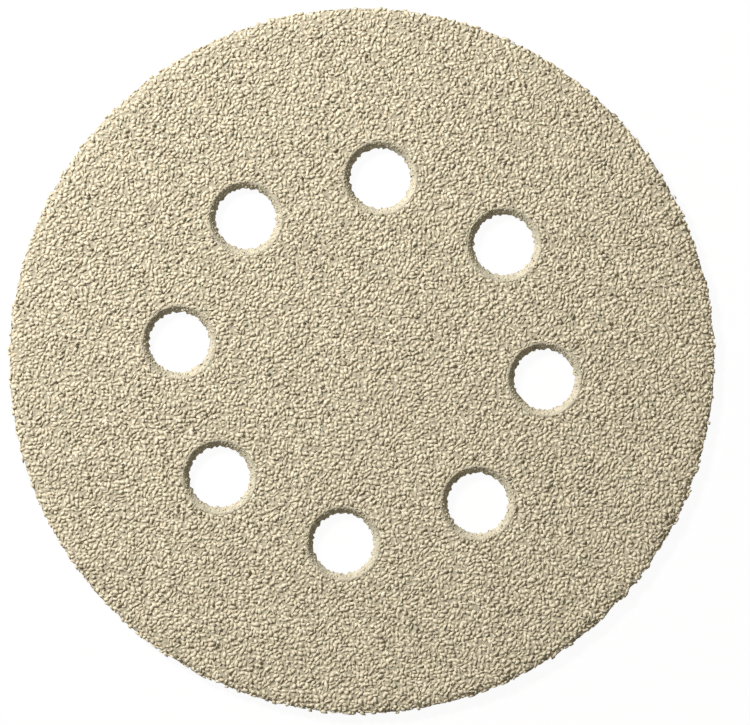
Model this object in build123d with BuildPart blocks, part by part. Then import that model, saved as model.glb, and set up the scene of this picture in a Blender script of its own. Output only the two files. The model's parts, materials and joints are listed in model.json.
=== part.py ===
from build123d import *

import os

# A sanding disc that a sander's pad holds by its loops, with a ring of dust holes.
# Two webs are glued face to face and then cut in one stroke of a die: a sheet of
# heavy paper with abrasive grain bonded to it, and a fabric whose loops catch the
# hooks of the pad. The disc lies on its loops with the grit upwards. The origin is
# the centre of the resting face, +Z points out of the grit face, and the first
# dust hole is on +X. All sizes are in millimetres.

# Outline and dust holes
disc_diameter = 125.0
hole_count = 8
hole_circle_diameter = 65.0
hole_diameter = 10.5

# The two webs, away from any cut
sheet_thickness = 1.1
loop_thickness = 1.0

# The die draws the webs down before it cuts them. Round the rim the knife draws them
# down a little. Round a hole the punch squeezes the airy loops nearly flat and breaks
# some of the grain away, so the face slopes steeply to the cut. A shoulder is where the
# flat face and the slope at the cut would meet, measured from the cut. The grain rolls
# over it in one smooth curve, and the glue line under the stiff paper folds there.
rim_roll_width = 2.4
rim_roll_drop = 0.3
rim_shoulder = 1.2
hole_roll_width = 1.45
hole_shoulder = 1.15
loops_left_at_hole = 0.1
sheet_left_at_hole = 0.7

# How far the punches run past the faces that they cut
punch_overrun = 1.0

disc_radius = disc_diameter / 2
hole_radius = hole_diameter / 2
lip_radius = hole_radius + hole_roll_width
fabric_face = loop_thickness
grit_face = fabric_face + sheet_thickness
fabric_lip = loops_left_at_hole
grit_lip = fabric_lip + sheet_left_at_hole


def punch_up_to(face, lip_height, edge_line):
    """A dust hole's punch for a lay-up that ends at this face: a straight shank up to
    the lip's height, with a mouth that flares out from there along the edge line."""
    with BuildPart() as punch:
        with BuildSketch(Plane.XZ):
            with BuildLine():
                lip = edge_line(
                    (lip_radius, face),
                    (hole_radius + hole_shoulder, face),
                    (hole_radius, lip_height),
                )
                Polyline(
                    lip @ 1,
                    (hole_radius, -punch_overrun),
                    (0, -punch_overrun),
                    (0, face + punch_overrun),
                    (lip_radius, face + punch_overrun),
                    lip @ 0,
                )
            make_face()
        revolve(axis=Axis.Z)
    return punch.part


def pressed_up_to(face, lip_height, edge_line):
    """The lay-up from its resting face to this face, with its drawn rim and holes.
    The edge line is Bezier where the face rolls over and Polyline where it folds."""
    with BuildPart() as lay_up:
        with BuildSketch(Plane.XZ):
            with BuildLine():
                rim = edge_line(
                    (disc_radius - rim_roll_width, face),
                    (disc_radius - rim_shoulder, face),
                    (disc_radius, face - rim_roll_drop),
                )
                Polyline(rim @ 1, (disc_radius, 0), (0, 0), (0, face), rim @ 0)
            make_face()
        revolve(axis=Axis.Z)
        with PolarLocations(hole_circle_diameter / 2, hole_count):
            add(punch_up_to(face, lip_height, edge_line), mode=Mode.SUBTRACT)
    return lay_up.part


# The loop fabric is the lay-up below the glue line.
with BuildPart() as loop_backing:
    add(pressed_up_to(fabric_face, fabric_lip, Polyline))
loop_backing.part.label = "loop_backing"

# The abrasive sheet is the rest of it, so its underside nests in the folded fabric.
with BuildPart() as abrasive_sheet:
    add(pressed_up_to(grit_face, grit_lip, Bezier))
    add(loop_backing.part, mode=Mode.SUBTRACT)
abrasive_sheet.part.label = "abrasive_sheet"

os.makedirs("parts", exist_ok=True)
for piece in (loop_backing, abrasive_sheet):
    export_step(piece.part, f"parts/{piece.part.label}.step")
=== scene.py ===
# %% [markdown]
# # A sanding disc, from its grain to its loops
#
# This lesson dresses the finished CAD frame of a 125 mm sanding disc. The frame
# gives the true outline, the dust holes and the two webs that are glued together.
# Blender adds what the eye looks for: the coarse grain, the resin that it sits in,
# the crushed lips of the holes, the edge of the paper, and the knitted loops that
# hold the disc on a sander's pad.

# %% Load the frame
import json
import math
import random

import bmesh
import bpy
import numpy as np
from mathutils import Matrix, Vector

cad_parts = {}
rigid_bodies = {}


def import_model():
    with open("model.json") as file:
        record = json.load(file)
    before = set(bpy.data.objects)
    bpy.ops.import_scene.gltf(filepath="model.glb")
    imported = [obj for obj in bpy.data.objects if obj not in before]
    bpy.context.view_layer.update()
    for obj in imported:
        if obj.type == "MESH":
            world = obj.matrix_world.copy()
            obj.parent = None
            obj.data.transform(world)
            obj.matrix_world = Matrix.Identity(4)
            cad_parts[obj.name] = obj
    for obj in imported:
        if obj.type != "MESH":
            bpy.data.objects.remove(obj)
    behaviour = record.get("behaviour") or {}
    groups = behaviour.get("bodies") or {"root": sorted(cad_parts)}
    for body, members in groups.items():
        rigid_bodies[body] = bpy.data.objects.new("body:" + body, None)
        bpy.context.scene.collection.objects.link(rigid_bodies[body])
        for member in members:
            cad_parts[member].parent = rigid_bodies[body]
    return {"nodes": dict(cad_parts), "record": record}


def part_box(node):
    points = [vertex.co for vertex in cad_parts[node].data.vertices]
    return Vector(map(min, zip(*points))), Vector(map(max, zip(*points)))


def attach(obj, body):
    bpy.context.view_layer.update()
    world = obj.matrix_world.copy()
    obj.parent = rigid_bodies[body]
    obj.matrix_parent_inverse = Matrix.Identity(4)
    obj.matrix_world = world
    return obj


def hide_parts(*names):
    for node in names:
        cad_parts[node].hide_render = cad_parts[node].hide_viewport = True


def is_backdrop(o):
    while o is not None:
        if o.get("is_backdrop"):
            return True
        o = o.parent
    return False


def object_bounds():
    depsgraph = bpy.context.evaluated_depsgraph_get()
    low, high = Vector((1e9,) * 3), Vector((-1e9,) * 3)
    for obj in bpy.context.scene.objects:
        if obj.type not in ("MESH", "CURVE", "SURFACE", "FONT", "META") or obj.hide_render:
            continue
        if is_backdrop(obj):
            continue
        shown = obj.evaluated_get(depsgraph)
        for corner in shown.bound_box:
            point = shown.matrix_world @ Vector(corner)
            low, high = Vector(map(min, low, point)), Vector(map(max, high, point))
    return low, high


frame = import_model()
cad_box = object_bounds()
print("nodes in the frame:", sorted(frame["nodes"]))

# %% [markdown]
# ## Sizes
#
# Everything is in metres. The radius, the faces and the holes are read from the
# frame, so each piece lands where the CAD says. The frame doesn't tell how the
# die rolled the rim and the lips of the holes, so those sizes are named here, as
# they are in the CAD.

# %% Sizes of the disc
MM = 0.001
sheet_low, sheet_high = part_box("abrasive_sheet")
loops_low, loops_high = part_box("loop_backing")
mounts = {mount["name"]: mount for mount in frame["record"]["mounts"]}
hole_pattern = mounts["dust_holes"]["dims"]

disc_radius = sheet_high.x
grit_face = sheet_high.z
glue_line = loops_high.z
hole_count = hole_pattern["count"]
hole_radius = hole_pattern["hole_r_mm"] * MM
hole_ring_radius = hole_pattern["pcd_mm"] / 2 * MM
hole_centres = []
for index in range(hole_count):
    angle = math.tau * index / hole_count
    hole_centres.append((hole_ring_radius * math.cos(angle), hole_ring_radius * math.sin(angle)))

# How wide the rim and the lips are rolled, how far from the cut the shoulder lies, and
# how deep the cut is drawn. Then how much of the coat is crushed away at the edge of a
# hole, and how far from it that begins.
RIM_ROLL_WIDTH = 2.4 * MM
RIM_SHOULDER = 1.2 * MM
RIM_ROLL_DROP = 0.3 * MM
LIP_WIDTH = 1.45 * MM
LIP_SHOULDER = 1.15 * MM
LIP_DROP = 0.9 * MM
COAT_CRUSH = 0.4 * MM
CRUSH_REACH = 1.30 * MM
print(f"disc radius {disc_radius / MM:.2f} mm, grit face at {grit_face / MM:.2f} mm,",
      f"{hole_count} holes of {2 * hole_radius / MM:.2f} mm")

# %% [markdown]
# ## The drawn edges
#
# A die that cuts this stack first drags it down. The face leaves the flat smoothly
# and dives to the cut, along a curve with one control point, which is the shoulder.
# The same rule bends every web of the disc, so it is written once, as a formula for
# whole arrays of points. A Lattice or a Shrinkwrap modifier could bend the webs too,
# but a formula gives the same drop to paper, grain and fabric, so none cuts into
# its neighbour.


# %% How far the die draws the webs down
def roll(from_cut, width, shoulder, drop):
    """The drop at a distance from the cut, on the curve that a Bezier with one shoulder draws."""
    inside = np.clip(width - from_cut, 0, width)
    lean = width - shoulder
    root = np.sqrt(np.maximum(lean ** 2 - (width - 2 * shoulder) * inside, 0))
    return drop * (inside / (lean + root)) ** 2


def hole_distance(x, y):
    """The way from each place to the edge of the nearest hole, negative inside it."""
    away = [np.hypot(x - centre_x, y - centre_y) for centre_x, centre_y in hole_centres]
    return np.min(away, axis=0) - hole_radius


def drawn_down(x, y):
    """How far the die has drawn the webs down at these places."""
    at_rim = roll(disc_radius - np.hypot(x, y), RIM_ROLL_WIDTH, RIM_SHOULDER, RIM_ROLL_DROP)
    at_hole = roll(hole_distance(x, y), LIP_WIDTH, LIP_SHOULDER, LIP_DROP)
    return np.maximum(at_rim, at_hole)


def crushed_off(x, y):
    """How much of the coat the punch has crushed away on top of that, in one even slope."""
    return COAT_CRUSH * np.clip(1 - hole_distance(x, y) / CRUSH_REACH, 0, 1)


for gap in (0.0, 0.5, 1.0):
    place = np.array([hole_ring_radius - hole_radius - gap * MM])
    drop = drawn_down(place, np.zeros(1))[0] + crushed_off(place, np.zeros(1))[0]
    print(f"{gap:.1f} mm from a hole the grit lies {drop / MM:.2f} mm lower")


# %% [markdown]
# ## Cut lines
#
# Grain, resin and fibres tear where the die shears them, so no edge is a perfect
# circle. A Boolean would cut every grain cleanly, slowly and with slivers. Moving
# the points that stand past the cut back to it is quick, keeps each mesh closed,
# and lets each grain have a cut line of its own. A punch also breaks the edge of each
# hole in a way of its own, which a few waves with random starts describe well.

# %% Move what stands past a cut back to it
TINY = 1e-9


def cut_back(x, y, rim_reach, hole_reach):
    """Places within rim_reach of the disc's centre and at least hole_reach from each hole's."""
    reach = np.maximum(np.hypot(x, y), TINY)
    inward = np.minimum(1, rim_reach / reach)
    x, y = x * inward, y * inward
    for centre_x, centre_y in hole_centres:
        away_x, away_y = x - centre_x, y - centre_y
        reach = np.maximum(np.hypot(away_x, away_y), TINY)
        outward = np.maximum(1, hole_reach / reach)
        x, y = centre_x + away_x * outward, centre_y + away_y * outward
    return x, y


# %% How unevenly the punch breaks the edge of a hole
# The waves are counted round the hole. The burr is how far the paper may stand into
# it, and the break is how far the edge may go back from there.
BREAK_WAVES = (13, 18, 23, 29, 36, 44)
BREAK_SEED = 100
HOLE_BURR = 0.12 * MM
HOLE_BREAK = 0.42 * MM


def hole_edge(x, y):
    """The radius to which the nearest hole is broken open in this direction."""
    edge = np.full(len(x), hole_radius)
    for number, (centre_x, centre_y) in enumerate(hole_centres):
        rng = np.random.default_rng(BREAK_SEED + number)
        away_x, away_y = x - centre_x, y - centre_y
        around = np.arctan2(away_y, away_x)
        swell = sum(np.cos(waves * around + rng.uniform(0, math.tau)) for waves in BREAK_WAVES)
        broken = np.clip(0.5 + swell / len(BREAK_WAVES), 0, 1)
        near = np.hypot(away_x, away_y) < hole_radius + LIP_WIDTH
        edge = np.where(near, hole_radius - HOLE_BURR + HOLE_BREAK * broken, edge)
    return edge


# %% [markdown]
# ## Meshes as arrays
#
# The grain has hundreds of thousands of points. Reading them into an array, moving
# them all at once and writing them back takes a blink, where a loop over the points
# would take minutes.


# %% Read and write the points of a mesh
def points_of(mesh):
    """The mesh's points as an array with three columns."""
    flat = np.empty(len(mesh.vertices) * 3, np.float32)
    mesh.vertices.foreach_get("co", flat)
    return flat.reshape(-1, 3).astype(float)


def move_points(mesh, points):
    """Puts an array's points back into the mesh."""
    mesh.vertices.foreach_set("co", points.astype(np.float32).ravel())
    mesh.update()


def values_of(mesh, name):
    """A number that the mesh keeps for each point."""
    values = np.empty(len(mesh.vertices), np.float32)
    mesh.attributes[name].data.foreach_get("value", values)
    return values.astype(float)


def keep_values(mesh, name, values):
    """Gives the mesh a number for each point, which its material can read."""
    attribute = mesh.attributes.new(name, "FLOAT", "POINT")
    attribute.data.foreach_set("value", np.asarray(values, np.float32))


# %% From a bmesh to a mesh, and from data to an object
def mesh_of(bm, name):
    """A mesh of what was modelled; the bmesh goes."""
    mesh = bpy.data.meshes.new(name)
    bm.to_mesh(mesh)
    bm.free()
    return mesh


def placed(name, data):
    """An object of this data in the scene."""
    thing = bpy.data.objects.new(name, data)
    bpy.context.scene.collection.objects.link(thing)
    return thing


# %% [markdown]
# ## A piece of the disc
#
# Every piece moves with the disc's one body and takes one finish. The disc is flat,
# so each piece brings a flat map that is simply its view from above or below.
# Unwrapping it by angle would leave tens of thousands of scraps. What faces away is
# never seen, so it goes into an unused corner of the map.

# %% Flat maps and new pieces
# How far the map reaches, how small the hidden faces lie in it, and how far a face
# may lean away from the seen side before it counts as hidden.
MAP_REACH = disc_radius + 1.0 * MM
HIDDEN_SCALE = 0.12
TURNED_AWAY = -0.2


def add_flat_map(mesh, seen_side):
    """Lays out the faces on the seen side, 1 above or -1 below, as they look from there."""
    corner_points = np.empty(len(mesh.loops), np.int32)
    mesh.loops.foreach_get("vertex_index", corner_points)
    corner_counts = np.empty(len(mesh.polygons), np.int32)
    mesh.polygons.foreach_get("loop_total", corner_counts)
    normals = np.empty(len(mesh.polygons) * 3, np.float32)
    mesh.polygons.foreach_get("normal", normals)
    seen = np.repeat(normals[2::3] * seen_side > TURNED_AWAY, corner_counts)
    spread = points_of(mesh)[corner_points, :2] / (2 * MAP_REACH) + 0.5
    places = np.where(seen[:, None], spread, spread * HIDDEN_SCALE)
    layer = mesh.uv_layers.new(name="OFBake")
    layer.data.foreach_set("uv", places.astype(np.float32).ravel())


def new_piece(name, mesh, finish, seen_side, node=None):
    """A piece that rides on the disc's body and may stand for a CAD node."""
    piece = placed(name, mesh)
    mesh.materials.clear()
    mesh.materials.append(finish)
    add_flat_map(mesh, seen_side)
    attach(piece, "root")
    if node:
        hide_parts(node)
    print(f"{name}: {sum(len(face.vertices) - 2 for face in mesh.polygons)} triangles")
    return piece


# %% [markdown]
# ## A punched web
#
# Paper, resin and knit are all the same to the die: a web with a round outline and
# eight holes. It could be built as rings of faces, but the faces between the holes
# would then be long and uneven, and they wouldn't bend well. Here a fine grid gets
# a thickness, Boolean modifiers cut it as the die does, and then every point is
# lifted to its own height and drawn down with its neighbours.

# %% The die's cutters
RIM_SEGMENTS = 480
HOLE_SEGMENTS = 120
SLAB_HEIGHT = 1.0 * MM
WEB_SPACING = 1.5 * MM


def cutter_of(name, radius, centres, segments):
    """Upright cylinders that run through the slab, as one object."""
    bm = bmesh.new()
    for centre_x, centre_y in centres:
        bmesh.ops.create_cone(
            bm, cap_ends=True, segments=segments, radius1=radius, radius2=radius,
            depth=4 * SLAB_HEIGHT, matrix=Matrix.Translation((centre_x, centre_y, 0)),
        )
    return placed(name, mesh_of(bm, name))


def baked_mesh(source, name):
    """The mesh that an object's modifiers make, as plain data; the object goes."""
    evaluated = source.evaluated_get(bpy.context.evaluated_depsgraph_get())
    mesh = bpy.data.meshes.new_from_object(evaluated)
    mesh.name = name
    bpy.data.objects.remove(source)
    return mesh


# %% A flat grid with a thickness
# Finer points lie within this band on both sides of a line this far from a hole.
FINE_BAND = 1.6 * MM
FINE_MIDDLE = 0.8 * MM


def slab_of(name, spacing, finer):
    """A flat slab from z 0 to its height, with more points along the lips where finer is set."""
    steps = math.ceil(disc_radius / spacing) + 1
    bm = bmesh.new()
    bmesh.ops.create_grid(bm, x_segments=2 * steps, y_segments=2 * steps, size=steps * spacing)
    if finer:
        middles = np.array([(edge.verts[0].co + edge.verts[1].co) / 2 for edge in bm.edges])
        near = np.abs(hole_distance(middles[:, 0], middles[:, 1]) - FINE_MIDDLE) < FINE_BAND
        edges = [edge for edge, close in zip(bm.edges, near) if close]
        bmesh.ops.subdivide_edges(bm, edges=edges, cuts=finer, use_grid_fill=True)
    bmesh.ops.solidify(bm, geom=bm.faces[:], thickness=SLAB_HEIGHT)
    bmesh.ops.recalc_face_normals(bm, faces=bm.faces[:])
    lowest = min(vert.co.z for vert in bm.verts)
    bmesh.ops.translate(bm, verts=bm.verts[:], vec=(0, 0, -lowest))
    return placed(name, mesh_of(bm, name))


# %% Cut it, lift it and draw it down
# Fibres and resin fray past the broken edge of a hole by up to this.
FRAY = 0.08 * MM


def punched_slab(name, spacing, finer, punch_radius):
    """The slab, cut to the disc's outline and holes."""
    slab = slab_of(name, spacing, finer)
    outline = cutter_of("outline_cutter", disc_radius, [(0, 0)], RIM_SEGMENTS)
    punches = cutter_of("punch_cutter", punch_radius, hole_centres, HOLE_SEGMENTS)
    for operation, cutter in (("INTERSECT", outline), ("DIFFERENCE", punches)):
        cut = slab.modifiers.new(operation.lower(), "BOOLEAN")
        cut.operation = operation
        cut.solver = "MANIFOLD"
        cut.object = cutter
    web = baked_mesh(slab, name)
    for cutter in (outline, punches):
        bpy.data.objects.remove(cutter)
    return web


def level(height):
    """A face that lies at one height before the die draws it down."""
    return lambda x, y: np.full_like(x, height)


def pressed_web(name, spacing, low, high, finer=0, punch_radius=hole_radius - HOLE_BURR):
    """A punched web between the faces low(x, y) and high(x, y), drawn down at the cuts."""
    web = punched_slab(name, spacing, finer, punch_radius)
    points = points_of(web)
    x, y, z = points.T
    lifted = np.where(z > SLAB_HEIGHT / 2, high(x, y), low(x, y))
    points[:, 2] = lifted - drawn_down(x, y)
    move_points(web, points)
    return web


def torn_back(web, rim_least, rim_most, seed):
    """Pulls a web back from the cuts by an uneven amount, as resin and fibres tear."""
    points = points_of(web)
    rng = np.random.default_rng(seed)
    rim_reach = disc_radius - rng.uniform(rim_least, rim_most, len(points))
    x, y = points[:, 0], points[:, 1]
    hole_reach = hole_edge(x, y) + rng.uniform(0, FRAY, len(points))
    points[:, 0], points[:, 1] = cut_back(x, y, rim_reach, hole_reach)
    move_points(web, points)


# %% [markdown]
# ## Nodes for materials
#
# Every finish of the disc is made of the same few things: a noise on the object's
# own coordinates, a ramp that turns it into colour, a range that turns it into
# roughness, and a bump for relief that is finer than the mesh. Image textures
# would be quicker to look at, but they tie the part to files and to one size.


# %% Material helpers
def new_finish(name):
    """A new material with its nodes, its links and its Principled shader."""
    finish = bpy.data.materials.new(name)
    finish.use_nodes = True
    tree = finish.node_tree
    return finish, tree.nodes, tree.links, tree.nodes["Principled BSDF"]


def noise_of(nodes, links, vector, scale, detail=2.0, roughness=0.5):
    """How strong a noise is, from 0 to 1, at these coordinates."""
    noise = nodes.new("ShaderNodeTexNoise")
    noise.inputs["Scale"].default_value = scale
    noise.inputs["Detail"].default_value = detail
    noise.inputs["Roughness"].default_value = roughness
    links.new(vector, noise.inputs["Vector"])
    return noise.outputs["Fac"]


def ramp_of(nodes, links, field, stops):
    """A field turned into colour, by stops of (position, colour)."""
    ramp = nodes.new("ShaderNodeValToRGB")
    elements = ramp.color_ramp.elements
    while len(elements) < len(stops):
        elements.new(0.5)
    for element, (position, colour) in zip(elements, stops):
        element.position = position
        element.color = (*colour, 1)
    links.new(field, ramp.inputs["Fac"])
    return ramp.outputs["Color"]


def mix_of(nodes, links, first, second, factor=None, blend="MIX"):
    """Two colours mixed by a field, or multiplied."""
    mix = nodes.new("ShaderNodeMix")
    mix.data_type = "RGBA"
    mix.blend_type = blend
    mix.inputs["Factor"].default_value = 1.0
    if factor is not None:
        links.new(factor, mix.inputs["Factor"])
    links.new(first, mix.inputs["A"])
    links.new(second, mix.inputs["B"])
    return mix.outputs["Result"]


def roughen(nodes, links, shader, field, smooth, rough):
    """Roughness that follows a noise."""
    spread = nodes.new("ShaderNodeMapRange")
    spread.inputs["From Min"].default_value = 0.3
    spread.inputs["From Max"].default_value = 0.7
    spread.inputs["To Min"].default_value = smooth
    spread.inputs["To Max"].default_value = rough
    links.new(field, spread.inputs["Value"])
    links.new(spread.outputs["Result"], shader.inputs["Roughness"])


def emboss(nodes, links, shader, field, depth):
    """Relief of this depth that is too fine for the mesh."""
    bump = nodes.new("ShaderNodeBump")
    bump.inputs["Strength"].default_value = 1.0
    bump.inputs["Distance"].default_value = depth
    links.new(field, bump.inputs["Height"])
    links.new(bump.outputs["Normal"], shader.inputs["Normal"])


def attribute_of(nodes, name):
    """A number that the mesh keeps for each point."""
    attribute = nodes.new("ShaderNodeAttribute")
    attribute.attribute_name = name
    return attribute.outputs["Fac"]


def object_place(nodes, links, stretch=(1, 1, 1)):
    """The object's own coordinates, squeezed so that a pattern stretches along an axis."""
    mapping = nodes.new("ShaderNodeMapping")
    mapping.inputs["Scale"].default_value = stretch
    links.new(nodes.new("ShaderNodeTexCoord").outputs["Object"], mapping.inputs["Vector"])
    return mapping.outputs["Vector"]


# %% [markdown]
# ## The paper
#
# The sheet's body is heavy brown paper. Only its torn edge shows, at the rim and
# inside the holes, as thin layers of fibre. Hair strands would be far too much for
# an edge of 0.4 mm, so the fibres are a noise that is stretched along the sheet,
# in colour and in relief.

# %% Paper finish
FIBRE_SCALE = 1500
FIBRE_LAYERS = 5
FIBRE_RELIEF = 0.06 * MM


def paper_finish():
    """Brown paper whose edge shows layers of fibre."""
    finish, nodes, links, shader = new_finish("paper_edge")
    along = object_place(nodes, links, (1, 1, FIBRE_LAYERS))
    fibres = noise_of(nodes, links, along, FIBRE_SCALE, 4, 0.65)
    colour = ramp_of(nodes, links, fibres, [
        (0.30, (0.36, 0.28, 0.17)), (0.50, (0.46, 0.37, 0.24)), (0.72, (0.58, 0.49, 0.35))])
    links.new(colour, shader.inputs["Base Color"])
    roughen(nodes, links, shader, fibres, 0.95, 0.8)
    emboss(nodes, links, shader, fibres, FIBRE_RELIEF)
    return finish


# %% Paper
# How ragged the rim is in all, and between which depths the two plain webs tear there.
PAPER_THICKNESS = 0.4 * MM
RAGGED_RIM = 0.85 * MM
WEB_TEAR = (0.6 * RAGGED_RIM, 0.8 * RAGGED_RIM)
PAPER_SEED = 6
paper_face = glue_line + PAPER_THICKNESS

paper_mesh = pressed_web("paper_backing", WEB_SPACING, level(glue_line), level(paper_face))
torn_back(paper_mesh, *WEB_TEAR, PAPER_SEED)
new_piece("paper_backing", paper_mesh, paper_finish(), 1, "abrasive_sheet")

# %% [markdown]
# ## The ground of the knit
#
# The loops stand on a thin knitted ground that is glued to the paper. Knitting a
# real yarn for it would take millions of faces for something that the loops nearly
# hide. So the ground is a thin web, and two sets of bands, one along the columns of
# stitches and one along the rows, give its colour and relief.

# %% Knit finish
COLUMN_SPACING = 0.9 * MM
ROW_SPACING = 1.15 * MM
KNIT_RELIEF = 0.16 * MM
BAND_TURNS = 20 / math.tau
FLUFF_SCALE = 2600


def bands_of(nodes, links, vector, direction, spacing):
    """Soft bands of this spacing, across one axis of the cloth."""
    wave = nodes.new("ShaderNodeTexWave")
    wave.bands_direction = direction
    wave.inputs["Scale"].default_value = 1 / (spacing * BAND_TURNS)
    wave.inputs["Distortion"].default_value = 1.2
    wave.inputs["Detail"].default_value = 2.0
    links.new(vector, wave.inputs["Vector"])
    return wave.outputs["Fac"]


def knit_finish():
    """An off-white warp knit with columns and rows of stitches."""
    finish, nodes, links, shader = new_finish("knit")
    place = object_place(nodes, links)
    columns = bands_of(nodes, links, place, "X", COLUMN_SPACING)
    rows = bands_of(nodes, links, place, "Y", ROW_SPACING)
    stitch = nodes.new("ShaderNodeMath")
    stitch.operation = "MULTIPLY_ADD"
    links.new(columns, stitch.inputs[0])
    links.new(rows, stitch.inputs[1])
    links.new(noise_of(nodes, links, place, FLUFF_SCALE, 3, 0.6), stitch.inputs[2])
    # The colour is darker where the stitch relief is low: the knit's pattern, and painted shade in
    # the grooves between stitches.
    colour = ramp_of(nodes, links, stitch.outputs["Value"], [
        (0.35, (0.58, 0.57, 0.53)), (0.75, (0.74, 0.73, 0.69)), (1.0, (0.80, 0.79, 0.76))])
    links.new(colour, shader.inputs["Base Color"])
    roughen(nodes, links, shader, stitch.outputs["Value"], 0.95, 0.8)
    emboss(nodes, links, shader, stitch.outputs["Value"], KNIT_RELIEF)
    shader.inputs["Sheen Weight"].default_value = 0.25
    return finish


# %% Knit ground
KNIT_THICKNESS = 0.25 * MM
CLEAR_OF_FLOOR = 0.05 * MM
KNIT_SEED = 8
knit_face = glue_line - KNIT_THICKNESS

knit_mesh = pressed_web("knit_ground", WEB_SPACING, level(knit_face), level(glue_line))
torn_back(knit_mesh, *WEB_TEAR, KNIT_SEED)
knit_points = points_of(knit_mesh)
knit_points[:, 2] = np.maximum(knit_points[:, 2], CLEAR_OF_FLOOR)
move_points(knit_mesh, knit_points)
knit = new_piece("knit_ground", knit_mesh, knit_finish(), -1, "loop_backing")

# %% [markdown]
# ## The resin bed
#
# Grain is strewn into wet resin, which wets its way up between the grains and sets.
# From above it shows as the darker floor of the pits, the resin's own brown darkened
# further by painted shade. Where the punch came down, it crushed grain and resin into
# one broken slope, so there the bed rises to the height of the grain, and its colour
# stays darker than the grain, partly as painted shade. One web does both: a number
# kept at each point says how crushed it is, and its height and its colour follow
# that number.

# %% How crushed the coat is
# Measured from the edge of a hole: up to where it is all crushed, and from where on
# it is whole.
CRUSH_INNER = 1.22 * MM
CRUSH_OUTER = 1.55 * MM
CRUSH_ROUGHNESS = 0.05 * MM
CRUSH_DEEPEST = 0.2 * MM
CRUSH_SEED = 4
BED_THICKNESS = 0.40 * MM
bed_face = paper_face + BED_THICKNESS


def crushed(x, y):
    """1 on the crushed slope round a hole, and 0 where the coat is whole."""
    whole = np.clip((hole_distance(x, y) - CRUSH_INNER) / (CRUSH_OUTER - CRUSH_INNER), 0, 1)
    return 1 - whole ** 2 * (3 - 2 * whole)


def bed_top(x, y):
    """The resin's face: level between the grains, broken where it is crushed."""
    broken = np.random.default_rng(CRUSH_SEED).normal(0, CRUSH_ROUGHNESS, len(x))
    slope = grit_face - crushed_off(x, y) + np.clip(broken, -CRUSH_DEEPEST, 0)
    share = crushed(x, y)
    return bed_face * (1 - share) + slope * share


# %% Resin finish
CLOUD_SCALE = 900
BED_BUMP_SCALE = 1800
BED_BUMP = 0.25 * MM
DULL = 0.15
# These colours are darker than the grain: partly the resin's own brown, partly painted shade in the
# pits and on the lips.
PIT_RESIN_AND_SHADE = ((0.41, 0.365, 0.27), (0.48, 0.435, 0.33))
SLOPE_DUST_AND_SHADE = ((0.37, 0.34, 0.255), (0.54, 0.495, 0.385))


def resin_finish():
    """Cured resin between the grains and the paler dust of broken grain on the slopes, both partly
    darkened as painted shade.
    """
    finish, nodes, links, shader = new_finish("resin")
    place = object_place(nodes, links)
    cloud = noise_of(nodes, links, place, CLOUD_SCALE, 3)
    pits = ramp_of(nodes, links, cloud, [(0.3, PIT_RESIN_AND_SHADE[0]), (0.7, PIT_RESIN_AND_SHADE[1])])
    slopes = ramp_of(nodes, links, cloud, [(0.3, SLOPE_DUST_AND_SHADE[0]), (0.7, SLOPE_DUST_AND_SHADE[1])])
    colour = mix_of(nodes, links, pits, slopes, attribute_of(nodes, "crushed"))
    links.new(colour, shader.inputs["Base Color"])
    lumps = noise_of(nodes, links, place, BED_BUMP_SCALE, 4, 0.6)
    roughen(nodes, links, shader, lumps, 0.5, 0.75)
    emboss(nodes, links, shader, lumps, BED_BUMP)
    shader.inputs["Specular IOR Level"].default_value = DULL
    return finish


# %% Resin bed
BED_SPACING = 0.80 * MM
BED_TEAR = (0.1 * RAGGED_RIM, 0.6 * RAGGED_RIM)
BED_SEED = 5

bed_mesh = pressed_web("resin_bed", BED_SPACING, level(paper_face), bed_top, finer=2)
torn_back(bed_mesh, *BED_TEAR, BED_SEED)
keep_values(bed_mesh, "crushed", crushed(*points_of(bed_mesh)[:, :2].T))
bed_mesh.shade_smooth()
new_piece("resin_bed", bed_mesh, resin_finish(), 1)

# %% [markdown]
# ## The shapes of the grain
#
# Coarse abrasive grain is crushed crystal: blocky, a little longer than wide, no two
# alike. A rock from an icosphere with displacement has hundreds of faces, which is
# too many for twenty thousand grains. The hull of a dozen points on a squashed ball
# has twenty, and it is always closed and convex, as a broken crystal is. A shelf of
# twelve such shapes, turned at random, never looks repeated.

# %% Crystals
# The widths and heights are shares of a crystal's length.
GRAIN_SHAPES = 12
GRAIN_POINTS = 12
GRAIN_RADIUS = 0.77 * MM
GRAIN_WIDTHS = (0.47, 0.69)
GRAIN_HEIGHTS = (0.35, 0.47)


def crystal(name, seed, corners, radius):
    """A blocky crystal: the hull of a few points on a squashed ball."""
    rng = random.Random(seed)
    stretch = Vector((1.0, rng.uniform(*GRAIN_WIDTHS), rng.uniform(*GRAIN_HEIGHTS)))
    bm = bmesh.new()
    for corner in range(corners):
        direction = Vector((rng.gauss(0, 1), rng.gauss(0, 1), rng.gauss(0, 1))).normalized()
        bm.verts.new(direction * stretch * radius)
    hull = bmesh.ops.convex_hull(bm, input=bm.verts[:])
    spare = hull["geom_interior"] + hull["geom_unused"]
    loose = {item for item in spare if isinstance(item, bmesh.types.BMVert)}
    bmesh.ops.delete(bm, geom=list(loose), context="VERTS")
    bmesh.ops.recalc_face_normals(bm, faces=bm.faces[:])
    return bpy.data.objects.new(name, mesh_of(bm, name))


grain_shelf = bpy.data.collections.new("grain_shelf")
for index in range(GRAIN_SHAPES):
    grain_shelf.objects.link(crystal(f"crystal_{index:02d}", index, GRAIN_POINTS, GRAIN_RADIUS))

# %% [markdown]
# ## Strewing
#
# Real grain is thrown onto the resin by an electric field, which keeps the grains
# apart. Points from a Poisson disk are just that: random, and never nearer to each
# other than a gap. A particle system can't keep such a gap, so Geometry Nodes strew
# the shapes. Each shape also keeps two random numbers, its tint and its luck, which
# its points inherit.


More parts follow.
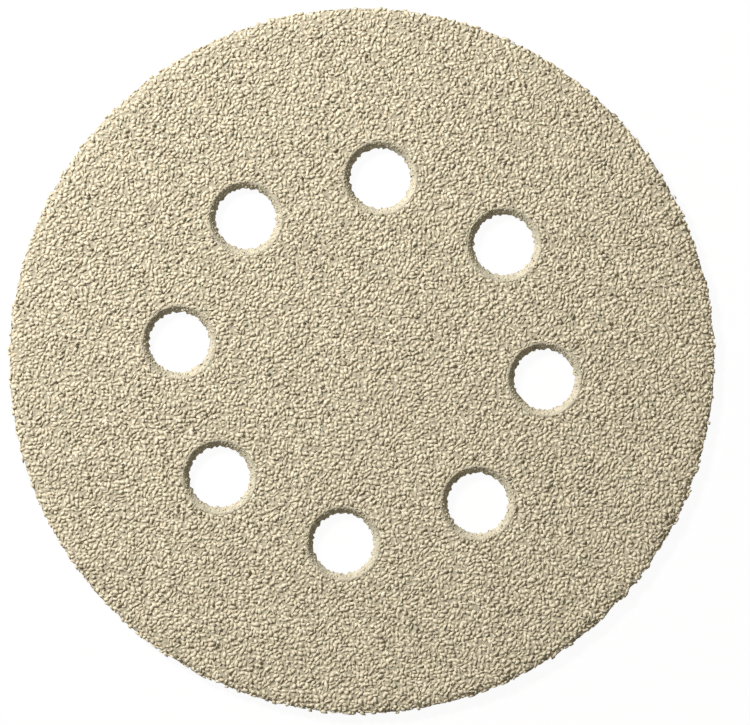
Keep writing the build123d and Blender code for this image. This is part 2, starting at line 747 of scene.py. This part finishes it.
# %% Small steps of the node tree
def random_value(nodes, kind, low, high, seed):
    """A random number or vector for each point, between two ends."""
    value = nodes.new("FunctionNodeRandomValue")
    value.data_type = kind
    ends = [socket for socket in value.inputs if socket.enabled and socket.name in ("Min", "Max")]
    ends[0].default_value = low
    ends[1].default_value = high
    value.inputs["Seed"].default_value = seed
    return next(socket for socket in value.outputs if socket.enabled)


def drawn_lot(nodes, links, share, seed):
    """True for the points whose lot falls within this share of 0 to 1."""
    away = nodes.new("ShaderNodeMath")
    away.operation = "SUBTRACT"
    away.inputs[1].default_value = (share[0] + share[1]) / 2
    links.new(random_value(nodes, "FLOAT", 0.0, 1.0, seed), away.inputs[0])
    distance = nodes.new("ShaderNodeMath")
    distance.operation = "ABSOLUTE"
    links.new(away.outputs[0], distance.inputs[0])
    within = nodes.new("FunctionNodeCompare")
    within.operation = "LESS_THAN"
    within.inputs["B"].default_value = (share[1] - share[0]) / 2
    links.new(distance.outputs[0], within.inputs["A"])
    return within.outputs["Result"]


def noted(nodes, links, geometry, name, value):
    """Notes a number on each instance, which its points inherit."""
    note = nodes.new("GeometryNodeStoreNamedAttribute")
    note.domain = "INSTANCE"
    note.data_type = "FLOAT"
    note.inputs["Name"].default_value = name
    links.new(geometry, note.inputs["Geometry"])
    number = next(socket for socket in note.inputs if socket.name == "Value" and socket.enabled)
    links.new(value, number)
    return note.outputs["Geometry"]


# %% The node tree that strews
# So many random places are tried on each square whose side is the gap, and the ones
# that keep the gap stay.
TRIES = 20


def strewn_points(nodes, links, surface, gap, seed):
    """Random points on a surface, no nearer to each other than the gap."""
    spread = nodes.new("GeometryNodeDistributePointsOnFaces")
    spread.distribute_method = "POISSON"
    spread.inputs["Distance Min"].default_value = gap
    spread.inputs["Density Max"].default_value = TRIES / gap ** 2
    spread.inputs["Seed"].default_value = seed
    links.new(surface, spread.inputs["Mesh"])
    return spread.outputs["Points"]


def strewing(name, shapes, gap, share, sizes, sink, seed, tilt):
    """A tree that sets shapes from a collection on a surface, tilted, scaled and sunk at random."""
    tree = bpy.data.node_groups.new(name, "GeometryNodeTree")
    tree.interface.new_socket("Geometry", in_out="INPUT", socket_type="NodeSocketGeometry")
    tree.interface.new_socket("Geometry", in_out="OUTPUT", socket_type="NodeSocketGeometry")
    nodes, links = tree.nodes, tree.links
    surface = nodes.new("NodeGroupInput").outputs["Geometry"]
    shelf = nodes.new("GeometryNodeCollectionInfo")
    shelf.inputs["Collection"].default_value = shapes
    shelf.inputs["Separate Children"].default_value = True

    place = nodes.new("GeometryNodeInstanceOnPoints")
    place.inputs["Pick Instance"].default_value = True
    last_shape = len(shapes.objects) - 1
    turned = random_value(nodes, "FLOAT_VECTOR", (-tilt, -tilt, 0), (tilt, tilt, math.tau), seed + 3)
    links.new(strewn_points(nodes, links, surface, gap, seed), place.inputs["Points"])
    links.new(drawn_lot(nodes, links, share, seed + 1), place.inputs["Selection"])
    links.new(shelf.outputs["Instances"], place.inputs["Instance"])
    links.new(random_value(nodes, "INT", 0, last_shape, seed + 2), place.inputs["Instance Index"])
    links.new(turned, place.inputs["Rotation"])
    links.new(random_value(nodes, "FLOAT", *sizes, seed + 4), place.inputs["Scale"])

    lower = nodes.new("GeometryNodeTranslateInstances")
    lower.inputs["Local Space"].default_value = False
    links.new(place.outputs["Instances"], lower.inputs["Instances"])
    sunk = random_value(nodes, "FLOAT_VECTOR", (0, 0, -sink), (0, 0, 0), seed + 5)
    links.new(sunk, lower.inputs["Translation"])
    strewn = lower.outputs["Instances"]
    strewn = noted(nodes, links, strewn, "tint", random_value(nodes, "FLOAT", 0.0, 1.0, seed + 6))
    strewn = noted(nodes, links, strewn, "luck", random_value(nodes, "FLOAT", 0.0, 1.0, seed + 7))
    whole = nodes.new("GeometryNodeRealizeInstances")
    links.new(strewn, whole.inputs["Geometry"])
    links.new(whole.outputs["Geometry"], nodes.new("NodeGroupOutput").inputs["Geometry"])
    return tree


# %% Strew over a surface
STEEP = 0.3
EVERY_LOT = (0.0, 1.0)


def seat_surface(height, bare_lip):
    """The upper side of a thin web at this height, with its holes made wider by a bare lip."""
    web = pressed_web(
        "seat", WEB_SPACING, level(height), level(height), punch_radius=hole_radius + bare_lip)
    bm = bmesh.new()
    bm.from_mesh(web)
    under = [face for face in bm.faces if face.normal.z < STEEP]
    bmesh.ops.delete(bm, geom=under, context="FACES")
    bm.to_mesh(web)
    bm.free()
    return web


def strewn_mesh(name, seat, shapes, gap, share, sizes, sink, seed, tilt):
    """Shapes strewn over a seat surface, as plain data."""
    surface = placed(name + "_seat", seat)
    strew = surface.modifiers.new("strew", "NODES")
    strew.node_group = strewing(name + "_nodes", shapes, gap, share, sizes, sink, seed, tilt)
    return baked_mesh(surface, name)


# %% [markdown]
# ## The finish of the grain
#
# A thin size coat of resin runs over the grain, so it is sandy rather than glassy.
# Each grain has a tint of its own, its flanks are darker towards the paper, partly
# from resin that clings there and partly as painted shade between the grains, and its
# skin is finely chipped. The tint and the height above the paper are numbers in the
# mesh, so one material serves every grain of a batch.

# %% Grain finish
GRAIN_BUMP_SCALE = 3000
GRAIN_BUMP = 0.08 * MM
# How dark the foot of a flank is, for clinging resin and for painted shade.
FLANK_RESIN_AND_SHADE = 0.82
WHITE = (1.0, 1.0, 1.0)


def grain_finish(name, dark, middle, light):
    """Crystals under a size coat, of a tint between dark and light, with painted shade down their
    flanks.
    """
    finish, nodes, links, shader = new_finish(name)
    place = object_place(nodes, links)
    tint = ramp_of(nodes, links, attribute_of(nodes, "tint"), [
        (0.0, dark), (0.5, middle), (1.0, light)])
    # The flanks go darker towards the paper: partly resin that clings there, partly painted shade
    # between the grains.
    coat = ramp_of(nodes, links, attribute_of(nodes, "lift"), [
        (0.55, (FLANK_RESIN_AND_SHADE, 0.94 * FLANK_RESIN_AND_SHADE, 0.82 * FLANK_RESIN_AND_SHADE)), (0.86, WHITE)])
    chips = noise_of(nodes, links, place, GRAIN_BUMP_SCALE, 4, 0.6)
    specks = ramp_of(nodes, links, chips, [(0.35, (0.93, 0.92, 0.90)), (0.55, WHITE)])
    tinted_and_shaded = mix_of(nodes, links, tint, coat, blend="MULTIPLY")
    colour = mix_of(nodes, links, tinted_and_shaded, specks, blend="MULTIPLY")
    links.new(colour, shader.inputs["Base Color"])
    roughen(nodes, links, shader, chips, 0.45, 0.65)
    emboss(nodes, links, shader, chips, GRAIN_BUMP)
    shader.inputs["Specular IOR Level"].default_value = DULL
    return finish


# %% [markdown]
# ## The grain
#
# The grain is strewn in three batches, tan, pale and dusky, which share one seed and
# so one set of points: each point belongs to just one batch. Batches keep each mesh
# light enough to export whole. Afterwards the die shears what stands past the rim,
# the grain that bordered a hole ends in a ragged line, and every top stays below the
# height of the grit face.

# %% Seat and cut of the grain
# How the grains stand: the gap between their middles, how far these lie below the
# grit face, how much further some sink, and their sizes and tilt.
GRAIN_GAP = 0.60 * MM
GRAIN_DEPTH = 0.34 * MM
GRAIN_SINK = 0.06 * MM
GRAIN_SIZES = (0.88, 1.10)
GRAIN_TILT = 0.35
GRAIN_SEED = 11
# How they end: no grain starts nearer to a hole than the bare lip, none reaches past
# the ragged lip line, and some stand past the rim by up to the burr.
BARE_LIP = 1.42 * MM
LIP_LINE = 1.22 * MM
RAGGED_LIP = 0.30 * MM
RIM_BURR = 0.28 * MM
# The tops that come nearer to the grit face than this are pressed a little flatter.
EASED_DEPTH = 0.14 * MM
EASING = 0.8


def sheared_grain(points, luck):
    """The grain's points, cut back at the rim and the lips and kept between paper and grit face."""
    x, y = cut_back(
        points[:, 0], points[:, 1],
        disc_radius + RIM_BURR - RAGGED_RIM * luck, hole_radius + LIP_LINE + RAGGED_LIP * luck)
    face = grit_face - drawn_down(x, y)
    depth = face - points[:, 2]
    depth = np.where(depth < EASED_DEPTH, EASED_DEPTH - (EASED_DEPTH - depth) * EASING, depth)
    depth = np.clip(depth, crushed_off(x, y), grit_face - paper_face)
    return np.stack([x, y, face - depth], axis=1)


# %% Three batches of grain
def grain_batch(name, share, finish):
    """The grains whose lot falls within this share."""
    seat = seat_surface(grit_face - GRAIN_DEPTH, BARE_LIP)
    mesh = strewn_mesh(
        name, seat, grain_shelf, GRAIN_GAP, share, GRAIN_SIZES, GRAIN_SINK, GRAIN_SEED, GRAIN_TILT)
    points = sheared_grain(points_of(mesh), values_of(mesh, "luck"))
    move_points(mesh, points)
    above_paper = points[:, 2] + drawn_down(points[:, 0], points[:, 1]) - paper_face
    keep_values(mesh, "lift", above_paper / (grit_face - paper_face))
    mesh.shade_smooth()
    return new_piece(name, mesh, finish, 1)


tan_finish = grain_finish(
    "tan_grain", (0.590, 0.538, 0.420), (0.610, 0.556, 0.434), (0.630, 0.575, 0.450))
pale_finish = grain_finish(
    "pale_grain", (0.620, 0.566, 0.443), (0.642, 0.587, 0.460), (0.665, 0.609, 0.479))
dusky_finish = grain_finish(
    "dusky_grain", (0.560, 0.509, 0.395), (0.580, 0.528, 0.411), (0.600, 0.546, 0.425))
grain_batch("tan_grains", (0.0, 0.36), tan_finish)
grain_batch("pale_grains", (0.36, 0.70), pale_finish)
grain_batch("dusky_grains", (0.70, 1.0), dusky_finish)

# %% [markdown]
# ## Crumbs on the lips
#
# The punch breaks grain into the resin round each hole. Bump alone would leave the
# edge of the hole smooth in outline, so small crystals are strewn over the slope of
# the resin bed itself, turned every way, and the nearest ones break the edge.

# %% The slope that carries the crumbs
CRUMB_SHAPES = 6
CRUMB_CORNERS = 9
CRUMB_RADIUS = 0.52 * MM
CRUMB_REACH = 1.35 * MM
CRUMB_SHAPE_SEED = 30

crumb_shelf = bpy.data.collections.new("crumb_shelf")
for index in range(CRUMB_SHAPES):
    crumb = crystal(f"crumb_{index:02d}", CRUMB_SHAPE_SEED + index, CRUMB_CORNERS, CRUMB_RADIUS)
    crumb_shelf.objects.link(crumb)


def lip_surface():
    """The part of the resin bed that slopes to the holes."""
    bm = bmesh.new()
    bm.from_mesh(bed_mesh)
    away = hole_distance(*np.array([face.calc_center_median()[:2] for face in bm.faces]).T)
    steep = np.array([face.normal.z for face in bm.faces]) < STEEP
    gone = [face for face, far in zip(bm.faces, (away > CRUMB_REACH) | steep) if far]
    bmesh.ops.delete(bm, geom=gone, context="FACES")
    return mesh_of(bm, "lip_surface")


# %% Crumbs
# The lift is the height that the finish takes them to have, which sets how much painted
# flank shade they get, and the press is how much of the coat's crushing they follow.
CRUMB_GAP = 0.48 * MM
CRUMB_SIZES = (0.7, 1.15)
CRUMB_SINK = 0.12 * MM
CRUMB_SEED = 31
CRUMB_LIFT = 0.62
CRUMB_PRESS = 0.5
RAGGED_CRUMBS = 0.15 * MM

crumb_mesh = strewn_mesh(
    "lip_crumbs", lip_surface(), crumb_shelf, CRUMB_GAP, EVERY_LOT, CRUMB_SIZES, CRUMB_SINK,
    CRUMB_SEED, math.pi)
crumb_points = points_of(crumb_mesh)
crumb_x, crumb_y = cut_back(
    crumb_points[:, 0], crumb_points[:, 1],
    disc_radius, hole_edge(*crumb_points[:, :2].T) + RAGGED_CRUMBS * values_of(crumb_mesh, "luck"))
crumb_top = grit_face - drawn_down(crumb_x, crumb_y) - CRUMB_PRESS * crushed_off(crumb_x, crumb_y)
crumb_base = paper_face - drawn_down(crumb_x, crumb_y)
crumb_z = np.clip(crumb_points[:, 2], crumb_base, crumb_top)
move_points(crumb_mesh, np.stack([crumb_x, crumb_y, crumb_z], axis=1))
keep_values(crumb_mesh, "lift", np.full(len(crumb_points), CRUMB_LIFT))
crumb_mesh.shade_smooth()
new_piece("lip_crumbs", crumb_mesh, tan_finish, 1)

# %% [markdown]
# ## The loops
#
# The back of the disc is the soft half of a hook and loop fastener. Its pile is made
# of short loops of thread, which the hooks of the pad catch. Curves with a bevel
# would draw them well, but seven thousand curves are slow. One circle spun through
# half a turn makes a loop with few faces, and the nodes that strewed the grain hang
# eight such shapes from the ground of the knit, leaning every way.

# %% Loop shapes
# The spans are in mm, and the reaches are shares of the way from knit to floor.
LOOP_SHAPES = 8
LOOP_SPANS = (0.70, 1.25)
LOOP_REACHES = (0.95, 1.15)
LOOP_SKEW = 0.3
THREAD_RADIUS = 0.095 * MM
THREAD_SIDES = 3
LOOP_STEPS = 4
LOOP_SHAPE_SEED = 50


def loop_shape(name, seed):
    """Half a turn of thread, whose crest hangs below its two feet."""
    rng = random.Random(seed)
    half_span = rng.uniform(*LOOP_SPANS) * MM / 2
    reach = knit_face * rng.uniform(*LOOP_REACHES)
    skew = rng.uniform(-LOOP_SKEW, LOOP_SKEW)
    bm = bmesh.new()
    bmesh.ops.create_circle(bm, cap_ends=True, segments=THREAD_SIDES, radius=THREAD_RADIUS)
    bmesh.ops.translate(bm, verts=bm.verts[:], vec=(half_span, 0, 0))
    bmesh.ops.spin(
        bm, geom=bm.faces[:], cent=(0, 0, 0), axis=(0, 1, 0), angle=math.pi, steps=LOOP_STEPS,
        use_duplicate=False,
    )
    bmesh.ops.scale(bm, verts=bm.verts[:], vec=(1, 1, reach / half_span))
    sheared = Matrix(((1, 0, 0), (skew, 1, 0), (0, 0, 1)))
    bmesh.ops.transform(bm, matrix=sheared.to_4x4(), verts=bm.verts[:])
    bmesh.ops.recalc_face_normals(bm, faces=bm.faces[:])
    return bpy.data.objects.new(name, mesh_of(bm, name))


loop_shelf = bpy.data.collections.new("loop_shelf")
for index in range(LOOP_SHAPES):
    loop_shelf.objects.link(loop_shape(f"loop_{index:02d}", LOOP_SHAPE_SEED + index))


# %% Thread finish
FILAMENT_SCALE = 7000
FILAMENT_RELIEF = 0.03 * MM


def thread_finish():
    """Off-white nylon thread: many fine filaments, with a soft sheen."""
    finish, nodes, links, shader = new_finish("loop_thread")
    place = object_place(nodes, links)
    filaments = noise_of(nodes, links, place, FILAMENT_SCALE, 3, 0.6)
    colour = ramp_of(nodes, links, filaments, [
        (0.30, (0.66, 0.65, 0.61)), (0.50, (0.76, 0.75, 0.71)), (0.70, (0.82, 0.81, 0.78))])
    links.new(colour, shader.inputs["Base Color"])
    roughen(nodes, links, shader, filaments, 0.6, 0.85)
    emboss(nodes, links, shader, filaments, FILAMENT_RELIEF)
    shader.inputs["Sheen Weight"].default_value = 0.3
    return finish


# %% Loop pile
LOOP_GAP = 1.02 * MM
LOOP_SIZES = (0.85, 1.2)
LOOP_LEAN = 0.5
PILE_SEED = 23
# The loops keep this clear of the rim, and this far back from the holes, where the
# punch has pressed them flat. Their feet stay this far under the paper.
PILE_CLEAR = 0.15 * MM
PILE_LIP = 0.70 * MM
FOOT_DEPTH = 0.02 * MM

pile_mesh = strewn_mesh(
    "loop_pile", seat_surface(knit_face, PILE_LIP + PILE_CLEAR), loop_shelf, LOOP_GAP, EVERY_LOT,
    LOOP_SIZES, 0.0, PILE_SEED, LOOP_LEAN)
pile_points = points_of(pile_mesh)
pile_x, pile_y = cut_back(
    pile_points[:, 0], pile_points[:, 1], disc_radius - PILE_CLEAR, hole_radius + PILE_LIP)
under_paper = glue_line - drawn_down(pile_x, pile_y) - FOOT_DEPTH
pile_z = np.maximum(np.minimum(pile_points[:, 2], under_paper), 0)
move_points(pile_mesh, np.stack([pile_x, pile_y, pile_z], axis=1))
pile_mesh.shade_smooth()
pile = new_piece("loop_pile", pile_mesh, thread_finish(), -1)

# %% [markdown]

# %% [markdown]
# ## The camera
#
# The photograph looks straight down. Its frame gives the disc's radius in pixels,
# which with the camera's height gives the lens, and the disc's centre, which says
# how far the camera stands to the side. The disc lies turned a little, so it is the
# camera that turns, and the part keeps its own axes.

# %% Camera
# Places and lengths in the picture are in its pixels.
IMAGE_WIDTH = 750
IMAGE_HEIGHT = 725
DISC_CENTRE_PX = (361.7, 360.8)
DISC_RADIUS_PX = 353.5
FIRST_HOLE_DEG = -5.8
SENSOR_MM = 36.0
CAMERA_HEIGHT = 0.75

px_per_metre = DISC_RADIUS_PX / disc_radius
turn = Matrix.Rotation(math.radians(-FIRST_HOLE_DEG), 4, "Z")
aside = (IMAGE_WIDTH / 2 - DISC_CENTRE_PX[0]) / px_per_metre
ahead = (DISC_CENTRE_PX[1] - IMAGE_HEIGHT / 2) / px_per_metre
camera_data = bpy.data.cameras.new("camera")
camera_data.sensor_fit = "HORIZONTAL"
camera_data.sensor_width = SENSOR_MM
camera_data.lens = px_per_metre * CAMERA_HEIGHT * SENSOR_MM / IMAGE_WIDTH
camera = placed("camera", camera_data)
camera.matrix_world = turn @ Matrix.Translation((aside, ahead, grit_face + CAMERA_HEIGHT))
bpy.context.scene.camera = camera
print(f"lens {camera_data.lens:.1f} mm")

# %% [markdown]
# ## The light
#
# One soft lamp low in the upper left rakes over the grain, which is what makes its
# relief show. Everything that the lamp doesn't reach gets a weak, warm sky. The same
# world is plain white to the camera and in gloss, as the photograph's backdrop is.

# %% Key light
KEY_POWER = 9.0
KEY_SIZE = 0.14
KEY_DISTANCE = 0.7
KEY_ELEVATION = math.radians(34.5)

key_data = bpy.data.lights.new("key", "AREA")
key_data.shape = "DISK"
key_data.size = KEY_SIZE
key_data.energy = KEY_POWER
key = placed("key", key_data)
level_part = math.cos(KEY_ELEVATION) / math.sqrt(2)
towards_key = turn @ Vector((-level_part, level_part, math.sin(KEY_ELEVATION)))
aimed = towards_key.to_track_quat("Z", "Y").to_matrix().to_4x4()
key.matrix_world = Matrix.Translation(towards_key * KEY_DISTANCE) @ aimed


# %% World
SKY_FILL = 0.175
SKY_TONE = (1.08, 1.0, 0.76)


def background_ray(nodes, links):
    """1 for the camera's rays and for those that gloss and glass send on, and 0 for light."""
    rays = nodes.new("ShaderNodeLightPath")
    gloss = nodes.new("ShaderNodeMath")
    gloss.operation = "MAXIMUM"
    links.new(rays.outputs["Is Glossy Ray"], gloss.inputs[0])
    links.new(rays.outputs["Is Transmission Ray"], gloss.inputs[1])
    either = nodes.new("ShaderNodeMath")
    either.operation = "MAXIMUM"
    links.new(rays.outputs["Is Camera Ray"], either.inputs[0])
    links.new(gloss.outputs["Value"], either.inputs[1])
    return either.outputs["Value"]


world = bpy.data.worlds.new("studio")
world.use_nodes = True
bpy.context.scene.world = world
nodes, links = world.node_tree.nodes, world.node_tree.links
backdrop = nodes["Background"]
shown = background_ray(nodes, links)
tone = nodes.new("ShaderNodeMix")
tone.data_type = "RGBA"
tone.inputs["A"].default_value = (*SKY_TONE, 1)
tone.inputs["B"].default_value = (1, 1, 1, 1)
links.new(shown, tone.inputs["Factor"])
links.new(tone.outputs["Result"], backdrop.inputs["Color"])
strength = nodes.new("ShaderNodeMapRange")
strength.inputs["To Min"].default_value = SKY_FILL
strength.inputs["To Max"].default_value = 1.0
links.new(shown, strength.inputs["Value"])
links.new(strength.outputs["Result"], backdrop.inputs["Strength"])

# %% [markdown]
# ## The floor
#
# The disc lies on a plain pale floor. Light sees it as matt and pale, and it takes
# the disc's shadow. The camera sees it almost white, from a glow that lights
# nothing, with a trace of that shadow left.

# %% Floor
FLOOR_GLOW = 0.95
FLOOR_SIZE = 2.0

bm = bmesh.new()
bmesh.ops.create_grid(bm, x_segments=1, y_segments=1, size=FLOOR_SIZE)
floor_mesh = mesh_of(bm, "floor")
floor = placed("floor", floor_mesh)
floor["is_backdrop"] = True

floor_finish, nodes, links, shader = new_finish("floor")
mist = noise_of(nodes, links, object_place(nodes, links), 3)
pale = ramp_of(nodes, links, mist, [(0.3, (0.85, 0.85, 0.85)), (0.7, (0.87, 0.87, 0.87))])
links.new(pale, shader.inputs["Base Color"])
shader.inputs["Roughness"].default_value = 1.0
shader.inputs["Specular IOR Level"].default_value = 0.0
glow = nodes.new("ShaderNodeEmission")
share = nodes.new("ShaderNodeMath")
share.operation = "MULTIPLY"
share.inputs[1].default_value = FLOOR_GLOW
links.new(background_ray(nodes, links), share.inputs[0])
blend = nodes.new("ShaderNodeMixShader")
links.new(share.outputs["Value"], blend.inputs["Fac"])
links.new(shader.outputs["BSDF"], blend.inputs[1])
links.new(glow.outputs["Emission"], blend.inputs[2])
links.new(blend.outputs["Shader"], nodes["Material Output"].inputs["Surface"])
floor_mesh.materials.append(floor_finish)

bpy.context.scene.view_settings.view_transform = "Standard"

# %% [markdown]
# ## The sizes at the end
#
# The dressed disc has to keep the size of the CAD, so both boxes are written down
# side by side.

# %% Sizes of the dressed disc
dressed_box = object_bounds()
for label, box in (("CAD", cad_box), ("dressed", dressed_box)):
    print(label, "size in mm:", [round((high - low) / MM, 2) for low, high in zip(*box)])
